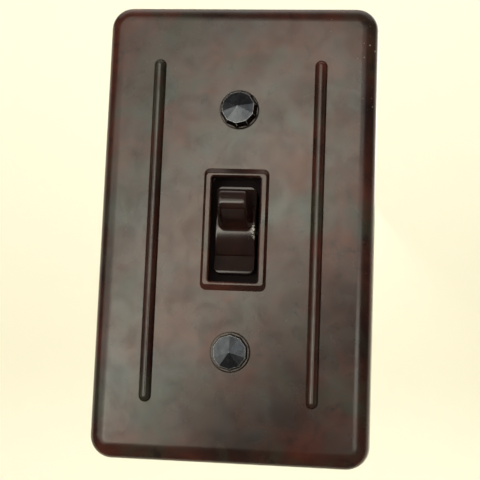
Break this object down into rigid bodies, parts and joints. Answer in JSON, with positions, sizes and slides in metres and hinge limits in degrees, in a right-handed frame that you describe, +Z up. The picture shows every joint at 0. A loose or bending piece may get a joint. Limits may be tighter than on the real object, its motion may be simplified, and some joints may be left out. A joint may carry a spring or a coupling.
{
  "type": "toggle wall switch",
  "caption": "Flush single-gang tumbler wall switch: beaded moulded cover plate, facetted cover screws, leaning toggle on a drum, steel strap and a moulded cup with a snap-over contact rocker.",
  "frame": {"origin": "middle of the cover plate's rim, on the wall surface that the strap and the rim bear on", "axes": "+X to the right seen from the front, +Y into the wall (the face looks towards -Y), +Z up the wall"},
  "size_m": [0.069, 0.0489, 0.115],
  "materials": {
    "plate": "mottled brown phenolic, polished and lightly worn",
    "toggle": "dark brown phenolic, glossy",
    "moulding": "black phenolic, satin",
    "blued_steel": "blue-black oxide, glossy",
    "zinc_steel": "zinc-plated sheet, dulled",
    "spring_steel": "bright drawn steel",
    "brass": "pressed brass, slightly tarnished",
    "bronze": "spring bronze strip",
    "fibre": "vulcanised fibre, matt"
  },
  "bodies": {
    "housing": {"cover_plate": "plate", "cover_screw_upper": "blued_steel", "cover_screw_lower": "blued_steel", "body_cover": "moulding", "switch_body": "moulding", "mounting_strap": "zinc_steel", "body_screw_upper": "zinc_steel", "body_screw_lower": "zinc_steel", "box_screw_upper": "zinc_steel", "box_screw_lower": "zinc_steel", "retaining_washer_upper": "fibre", "retaining_washer_lower": "fibre", "floor_liner": "fibre", "mechanism_frame": "zinc_steel", "frame_rivet_1": "brass", "frame_rivet_2": "brass", "frame_rivet_3": "brass", "frame_rivet_4": "brass", "toggle_pin": "spring_steel", "rocker_pin": "spring_steel", "fixed_contact_left": "bronze", "fixed_contact_right": "bronze", "contact_rivet_left": "brass", "contact_rivet_right": "brass", "terminal_plate_left": "brass", "terminal_plate_right": "brass", "terminal_screw_left": "brass", "terminal_screw_right": "brass"},
    "toggle": {"toggle_lever": "toggle"},
    "contact_rocker": {"rocker": "fibre", "bridge_contact": "bronze", "bridge_rivet_left": "brass", "bridge_rivet_right": "brass"},
    "snap_spring": {"overcentre_spring": "spring_steel"}
  },
  "joints": [
    {"name": "toggle_pivot", "type": "hinge", "parent": "housing", "child": "toggle", "pos_m": [0, 0.005, 0], "axis": [1, 0, 0], "range_deg": [0, 36.8]},
    {"name": "rocker_pivot", "type": "hinge", "parent": "housing", "child": "contact_rocker", "pos_m": [0, 0.0218, 0], "axis": [1, 0, 0], "range_deg": [0, 36.8]},
    {"name": "spring_tip", "type": "hinge", "parent": "housing", "child": "snap_spring", "pos_m": [0, 0.01474, 0], "axis": [1, 0, 0], "range_deg": [-46.8, 0], "deforming": ["overcentre_spring"]}
  ],
  "couplings": [
    {"joint": "rocker_pivot", "follows": "toggle_pivot", "ratio": 1},
    {"joint": "spring_tip", "follows": "toggle_pivot", "ratio": -1.269}
  ]
}
